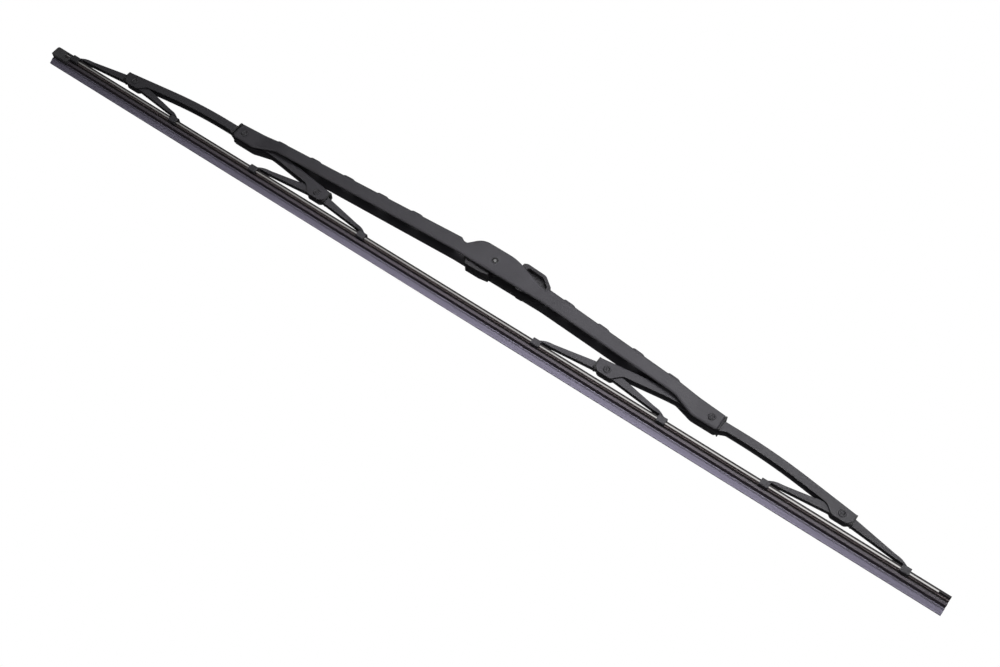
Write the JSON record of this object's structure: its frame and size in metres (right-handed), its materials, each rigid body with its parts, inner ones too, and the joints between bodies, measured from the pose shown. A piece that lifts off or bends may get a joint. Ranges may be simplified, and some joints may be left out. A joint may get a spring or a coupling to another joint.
{
  "type": "wiper blade",
  "caption": "Bow-frame wiper blade: nested pressed-steel bridges and claw yokes hold a long rubber squeegee with steel rails, and a hook adapter takes the wiper arm.",
  "frame": {"origin": "centre of the cross pin that the adapter turns on", "axes": "+X along the blade, away from the capped end; +Y across the blade, parallel to the pivots; +Z from the wiping edge up to the arm"},
  "size_m": [0.6009, 0.0136, 0.0477],
  "materials": {
    "bridge_paint": "matt black paint on pressed steel",
    "rivet_steel": "black-coated formed rivet",
    "pin_steel": "black-coated steel pin with a worn end",
    "rail_steel": "bright rolled spring steel",
    "squeegee_rubber": "smooth matt rubber",
    "bush_plastic": "moulded black plastic",
    "adapter_plastic": "moulded black plastic, fine grain",
    "cap_plastic": "moulded black plastic"
  },
  "bodies": {
    "adapter": {"hook_adapter": "adapter_plastic"},
    "bridge": {"primary_bridge": "bridge_paint", "cross_pin": "pin_steel", "bridge_pivot_bush_left": "bush_plastic", "bridge_pivot_bush_right": "bush_plastic", "bridge_pivot_rivet_left": "rivet_steel", "bridge_pivot_rivet_right": "rivet_steel", "rubber_squeegee": "squeegee_rubber", "flexor_rail_front": "rail_steel", "flexor_rail_back": "rail_steel"},
    "secondary_left": {"secondary_bridge_left": "bridge_paint", "inner_yoke_bush_left": "bush_plastic", "inner_yoke_rivet_left": "rivet_steel", "outer_yoke_bush_left": "bush_plastic", "outer_yoke_rivet_left": "rivet_steel"},
    "secondary_right": {"secondary_bridge_right": "bridge_paint", "inner_yoke_bush_right": "bush_plastic", "inner_yoke_rivet_right": "rivet_steel", "outer_yoke_bush_right": "bush_plastic", "outer_yoke_rivet_right": "rivet_steel"},
    "yoke_inner_left": {"inner_yoke_left": "bridge_paint"},
    "yoke_outer_left": {"outer_yoke_left": "bridge_paint", "rubber_end_cap": "cap_plastic"},
    "yoke_inner_right": {"inner_yoke_right": "bridge_paint"},
    "yoke_outer_right": {"outer_yoke_right": "bridge_paint"}
  },
  "joints": [
    {"name": "adapter_rock", "type": "hinge", "parent": "adapter", "child": "bridge", "pos_m": [0, 0, 0], "axis": [0, 1, 0], "range_deg": [-12, 12]},
    {"name": "secondary_left_pivot", "type": "hinge", "parent": "bridge", "child": "secondary_left", "pos_m": [-0.17205, 0, -0.012], "axis": [0, 1, 0], "range_deg": [-4, 4], "stiffness_Nm_per_rad": 1, "deforming": ["rubber_squeegee", "flexor_rail_front", "flexor_rail_back"]},
    {"name": "secondary_right_pivot", "type": "hinge", "parent": "bridge", "child": "secondary_right", "pos_m": [0.14725, 0, -0.012], "axis": [0, 1, 0], "range_deg": [-4, 4], "stiffness_Nm_per_rad": 1, "deforming": ["rubber_squeegee", "flexor_rail_front", "flexor_rail_back"]},
    {"name": "inner_yoke_left_pivot", "type": "hinge", "parent": "secondary_left", "child": "yoke_inner_left", "pos_m": [-0.11185, 0, -0.0195], "axis": [0, 1, 0], "range_deg": [-5, 5], "stiffness_Nm_per_rad": 0.4, "deforming": ["rubber_squeegee", "flexor_rail_front", "flexor_rail_back"]},
    {"name": "outer_yoke_left_pivot", "type": "hinge", "parent": "secondary_left", "child": "yoke_outer_left", "pos_m": [-0.25315, 0, -0.0195], "axis": [0, 1, 0], "range_deg": [-5, 5], "stiffness_Nm_per_rad": 0.4, "deforming": ["rubber_squeegee", "flexor_rail_front", "flexor_rail_back"]},
    {"name": "inner_yoke_right_pivot", "type": "hinge", "parent": "secondary_right", "child": "yoke_inner_right", "pos_m": [0.08705, 0, -0.0195], "axis": [0, 1, 0], "range_deg": [-5, 5], "stiffness_Nm_per_rad": 0.4, "deforming": ["rubber_squeegee", "flexor_rail_front", "flexor_rail_back"]},
    {"name": "outer_yoke_right_pivot", "type": "hinge", "parent": "secondary_right", "child": "yoke_outer_right", "pos_m": [0.22835, 0, -0.0195], "axis": [0, 1, 0], "range_deg": [-5, 5], "stiffness_Nm_per_rad": 0.4, "deforming": ["rubber_squeegee", "flexor_rail_front", "flexor_rail_back"]}
  ]
}
